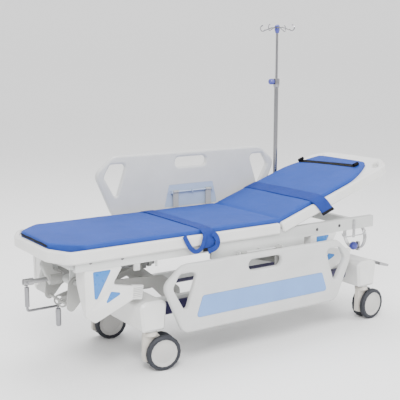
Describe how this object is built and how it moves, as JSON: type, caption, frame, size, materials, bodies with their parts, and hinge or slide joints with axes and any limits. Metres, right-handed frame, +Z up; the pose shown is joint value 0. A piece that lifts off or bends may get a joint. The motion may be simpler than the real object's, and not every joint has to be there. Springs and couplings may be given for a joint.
{
  "type": "stretcher trolley",
  "caption": "Hospital stretcher trolley with crank-raised deck, tilting backrest, fold-down side rails, drip pole and twin-wheel castors.",
  "frame": {"origin": "on the floor under the centre of the whole trolley's bounding box", "axes": "+X towards the head end with the backrest, +Y towards the side with the drip pole, +Z up"},
  "size_m": [1.8518, 0.6908, 1.455],
  "materials": {
    "castor_cream": "moulded cream plastic, slightly satin",
    "wheel_disc": "moulded grey wheel centre",
    "tyre": "dark grey non-marking rubber tread",
    "white_steel": "white powder-coated tube, satin",
    "white_plastic": "white moulded plastic, soft gloss",
    "navy_plastic": "dark blue bumper plastic",
    "zinc": "zinc-plated steel",
    "grey_steel": "grey painted steel",
    "chrome": "polished chrome plating",
    "rail_plastic": "light grey-white moulded plastic",
    "panel_blue": "light blue printed inlay panel",
    "knob_blue": "blue moulded plastic",
    "blue_fabric": "coated royal-blue mattress cloth",
    "black_fabric": "black webbing"
  },
  "bodies": {
    "base": {"base_frame": "white_steel", "foot_beam_cover": "white_plastic", "head_beam_cover": "white_plastic", "base_bumper_near": "navy_plastic", "base_bumper_far": "navy_plastic"},
    "brake_pedal": {"brake_pedal": "zinc"},
    "foot_arm": {"foot_lift_arm": "grey_steel"},
    "head_arm": {"head_lift_arm": "grey_steel"},
    "deck": {"deck_frame": "white_steel", "seat_board": "white_plastic", "mattress_seat": "blue_fabric", "body_strap": "blue_fabric", "crank_bracket": "grey_steel", "pole_tube": "chrome", "oxygen_ring": "zinc", "drainage_hook": "zinc", "lift_cover_near_foot": "white_plastic", "lift_cover_near_head": "white_plastic", "lift_cover_far_foot": "white_plastic", "lift_cover_far_head": "white_plastic"},
    "nut": {"lift_nut": "zinc"},
    "drag_link": {"drag_link": "grey_steel"},
    "screw": {"lift_screw": "zinc"},
    "crank": {"crank_handle": "chrome"},
    "crank_grip": {"crank_grip": "chrome"},
    "rail_arms_near": {"rail_arms_near": "grey_steel"},
    "rail_arms_far": {"rail_arms_far": "grey_steel"},
    "rail_near": {"side_rail_near": "rail_plastic", "rail_panel_near": "panel_blue", "rail_plate_near": "zinc"},
    "rail_far": {"side_rail_far": "rail_plastic", "rail_panel_far": "panel_blue", "rail_plate_far": "zinc"},
    "backrest": {"back_board": "white_plastic", "mattress_back": "blue_fabric", "chest_strap": "blue_fabric", "head_strap": "black_fabric"},
    "pole_upper": {"pole_slider": "chrome", "pole_hub": "knob_blue", "drip_hooks": "chrome"},
    "pole_knob": {"pole_knob": "knob_blue"},
    "ring_knob": {"ring_knob": "knob_blue"},
    "castor_near_foot": {"castor_near_foot_fork": "castor_cream"},
    "castor_near_foot_roll": {"castor_near_foot_wheel": "wheel_disc", "castor_near_foot_tyre_inner": "tyre", "castor_near_foot_tyre_outer": "tyre"},
    "castor_near_head": {"castor_near_head_fork": "castor_cream"},
    "castor_near_head_roll": {"castor_near_head_wheel": "wheel_disc", "castor_near_head_tyre_inner": "tyre", "castor_near_head_tyre_outer": "tyre"},
    "castor_far_foot": {"castor_far_foot_fork": "castor_cream"},
    "castor_far_foot_roll": {"castor_far_foot_wheel": "wheel_disc", "castor_far_foot_tyre_inner": "tyre", "castor_far_foot_tyre_outer": "tyre"},
    "castor_far_head": {"castor_far_head_fork": "castor_cream"},
    "castor_far_head_roll": {"castor_far_head_wheel": "wheel_disc", "castor_far_head_tyre_inner": "tyre", "castor_far_head_tyre_outer": "tyre"}
  },
  "joints": [
    {"name": "lift", "type": "hinge", "parent": "base", "child": "foot_arm", "pos_m": [-0.277, -0.03254, 0.262], "axis": [0, 1, 0], "range_deg": [0, 55]},
    {"name": "head_arm_swing", "type": "hinge", "parent": "base", "child": "head_arm", "pos_m": [0.618, -0.03254, 0.262], "axis": [0, 1, 0], "range_deg": [0, 55]},
    {"name": "deck_level", "type": "hinge", "parent": "foot_arm", "child": "deck", "pos_m": [-0.7503, -0.03254, 0.38882], "axis": [0, 1, 0], "range_deg": [-55, 0]},
    {"name": "nut_travel", "type": "slide", "parent": "deck", "child": "nut", "axis": [1, 0, 0], "range_m": [-0.07035, 0]},
    {"name": "link_swing", "type": "hinge", "parent": "nut", "child": "drag_link", "pos_m": [-0.382, -0.03254, 0.391], "axis": [0, 1, 0], "range_deg": [0, 7.47]},
    {"name": "crank_turn", "type": "hinge", "parent": "deck", "child": "screw", "pos_m": [-0.912, -0.03254, 0.391], "axis": [1, 0, 0], "range_deg": [-5, 5]},
    {"name": "crank_fold", "type": "hinge", "parent": "screw", "child": "crank", "pos_m": [-0.912, -0.03254, 0.391], "axis": [0, 1, 0], "range_deg": [0, 90]},
    {"name": "crank_grip_spin", "type": "hinge", "parent": "crank", "child": "crank_grip", "pos_m": [-0.778, -0.03254, 0.241], "axis": [0, 0, 1], "continuous": true},
    {"name": "rail_swing_near", "type": "hinge", "parent": "deck", "child": "rail_arms_near", "pos_m": [0.07, -0.30804, 0.448], "axis": [-1, 0, 0], "range_deg": [0, 180]},
    {"name": "rail_level_near", "type": "hinge", "parent": "rail_arms_near", "child": "rail_near", "pos_m": [0.07, -0.30804, 0.254], "axis": [-1, 0, 0], "range_deg": [-180, 0]},
    {"name": "rail_swing_far", "type": "hinge", "parent": "deck", "child": "rail_arms_far", "pos_m": [0.07, 0.24296, 0.448], "axis": [-1, 0, 0], "range_deg": [0, 180]},
    {"name": "rail_level_far", "type": "hinge", "parent": "rail_arms_far", "child": "rail_far", "pos_m": [0.07, 0.24296, 0.642], "axis": [-1, 0, 0], "range_deg": [-180, 0]},
    {"name": "back_tilt", "type": "hinge", "parent": "deck", "child": "backrest", "pos_m": [0.191, -0.03254, 0.551], "axis": [0, -1, 0], "range_deg": [-15, 56.5]},
    {"name": "pole_slide", "type": "slide", "parent": "deck", "child": "pole_upper", "axis": [0, 0, 1], "range_m": [-0.22, 0.28]},
    {"name": "pole_knob_turn", "type": "hinge", "parent": "deck", "child": "pole_knob", "pos_m": [0.5855, 0.25246, 1.165], "axis": [1, 0, 0], "continuous": true},
    {"name": "ring_knob_turn", "type": "hinge", "parent": "deck", "child": "ring_knob", "pos_m": [0.728, -0.21654, 0.365], "axis": [1, 0, 0], "continuous": true},
    {"name": "pedal_press", "type": "hinge", "parent": "base", "child": "brake_pedal", "pos_m": [0.738, -0.03254, 0.222], "axis": [0, 1, 0], "range_deg": [-15, 20]},
    {"name": "castor_near_foot_swivel", "type": "hinge", "parent": "base", "child": "castor_near_foot", "pos_m": [-0.477, -0.26754, 0.17], "axis": [0, 0, 1], "continuous": true},
    {"name": "castor_near_foot_spin", "type": "hinge", "parent": "castor_near_foot", "child": "castor_near_foot_roll", "pos_m": [-0.42762, -0.27536, 0.075], "axis": [0.1564, 0.9877, 0], "continuous": true},
    {"name": "castor_near_head_swivel", "type": "hinge", "parent": "base", "child": "castor_near_head", "pos_m": [0.738, -0.26754, 0.17], "axis": [0, 0, 1], "continuous": true},
    {"name": "castor_near_head_spin", "type": "hinge", "parent": "castor_near_head", "child": "castor_near_head_roll", "pos_m": [0.78788, -0.26405, 0.075], "axis": [-0.0698, 0.9976, 0], "continuous": true},
    {"name": "castor_far_foot_swivel", "type": "hinge", "parent": "base", "child": "castor_far_foot", "pos_m": [-0.477, 0.20246, 0.17], "axis": [0, 0, 1], "continuous": true},
    {"name": "castor_far_foot_spin", "type": "hinge", "parent": "castor_far_foot", "child": "castor_far_foot_roll", "pos_m": [-0.42727, 0.19723, 0.075], "axis": [0.1045, 0.9945, 0], "continuous": true},
    {"name": "castor_far_head_swivel", "type": "hinge", "parent": "base", "child": "castor_far_head", "pos_m": [0.738, 0.20246, 0.17], "axis": [0, 0, 1], "continuous": true},
    {"name": "castor_far_head_spin", "type": "hinge", "parent": "castor_far_head", "child": "castor_far_head_roll", "pos_m": [0.78793, 0.20507, 0.075], "axis": [-0.0523, 0.9986, 0], "continuous": true}
  ],
  "couplings": [
    {"joint": "head_arm_swing", "follows": "lift", "ratio": 1},
    {"joint": "deck_level", "follows": "lift", "ratio": -1},
    {"joint": "nut_travel", "follows": "lift", "m_per_rad": -0.072764},
    {"joint": "link_swing", "follows": "lift", "ratio": 0.13034},
    {"joint": "rail_level_near", "follows": "rail_swing_near", "ratio": -1},
    {"joint": "rail_level_far", "follows": "rail_swing_far", "ratio": -1}
  ]
}
